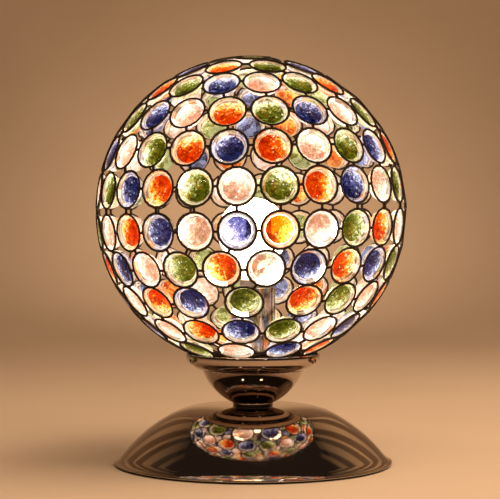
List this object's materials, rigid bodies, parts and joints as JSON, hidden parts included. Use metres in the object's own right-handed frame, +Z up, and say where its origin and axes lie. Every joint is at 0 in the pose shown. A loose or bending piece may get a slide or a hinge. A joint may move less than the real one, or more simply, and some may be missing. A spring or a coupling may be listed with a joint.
{
  "type": "mosaic glass table lamp",
  "caption": "Table lamp with a ball shade of coloured glass stones in wire rings, on a chromed cup and a domed base.",
  "frame": {"origin": "centre of the underside of the foot pad, on the surface the lamp stands on", "axes": "+Z up the lamp's axis, -Y towards the front, +X to the right seen from the front"},
  "size_m": [0.2007, 0.2008, 0.2636],
  "materials": {
    "black_chrome": "dark mirror chrome",
    "sleeve_chrome": "bright chrome",
    "cast_iron": "rough, as cast",
    "zinc_steel": "zinc plated",
    "foot_foam": "fine closed-cell foam",
    "black_plastic": "moulded, satin",
    "holder_plastic": "moulded, glossy",
    "brass": "bare",
    "frosted_glass": "frosted, lit",
    "bulb_nickel": "nickel plated",
    "black_glass": "opaque, glossy",
    "tungsten": "drawn wire",
    "gunmetal_wire": "dark plated wire",
    "blue_stone": "clear dome over cobalt faceted back",
    "amber_stone": "clear dome over amber faceted back",
    "green_stone": "clear dome over green faceted back",
    "clear_stone": "clear dome over pale pink faceted back"
  },
  "bodies": {
    "base": {"base_dome": "black_chrome", "base_weight": "cast_iron", "foot_pad": "foot_foam", "cord_bushing": "black_plastic", "stem_tube": "zinc_steel", "base_washer": "zinc_steel", "base_nut": "zinc_steel", "cup_bowl": "black_chrome", "gallery_ring": "black_chrome", "cup_washer": "zinc_steel", "cup_nut": "zinc_steel", "holder_sleeve": "sleeve_chrome", "sleeve_nut": "zinc_steel", "holder_cap": "holder_plastic", "holder_body": "holder_plastic", "socket_shell": "brass", "centre_contact": "brass", "terminal_screw_left": "brass", "terminal_screw_right": "brass"},
    "bulb": {"bulb_glass": "frosted_glass", "bulb_cap": "bulb_nickel", "bulb_insulator": "black_glass", "bulb_contact": "bulb_nickel", "bulb_stem": "frosted_glass", "filament": "tungsten"},
    "shade": {"shade_fitter_ring": "gunmetal_wire", "shade_row_00": "green_stone", "shade_row_01": "blue_stone", "shade_row_02": "amber_stone", "shade_row_03": "clear_stone", "shade_row_04": "green_stone", "shade_row_05": "blue_stone", "shade_row_06": "amber_stone", "shade_row_07": "clear_stone", "shade_row_08": "green_stone", "shade_row_09": "blue_stone", "shade_row_10": "amber_stone"},
    "screw_left": {"set_screw_left": "black_chrome"},
    "screw_right": {"set_screw_right": "black_chrome"},
    "screw_rear": {"set_screw_rear": "black_chrome"}
  },
  "joints": [
    {"name": "shade_lift", "type": "slide", "parent": "base", "child": "shade", "axis": [0, 0, 1], "range_m": [0, 0.115]},
    {"name": "bulb_unscrew", "type": "slide", "parent": "base", "child": "bulb", "axis": [0, 0, 1], "range_m": [0, 0.03]},
    {"name": "screw_left_back_off", "type": "slide", "parent": "base", "child": "screw_left", "axis": [-0.866, -0.5, 0], "range_m": [0, 0.004]},
    {"name": "screw_right_back_off", "type": "slide", "parent": "base", "child": "screw_right", "axis": [0.866, -0.5, 0], "range_m": [0, 0.004]},
    {"name": "screw_rear_back_off", "type": "slide", "parent": "base", "child": "screw_rear", "axis": [0, 1, 0], "range_m": [0, 0.004]}
  ]
}
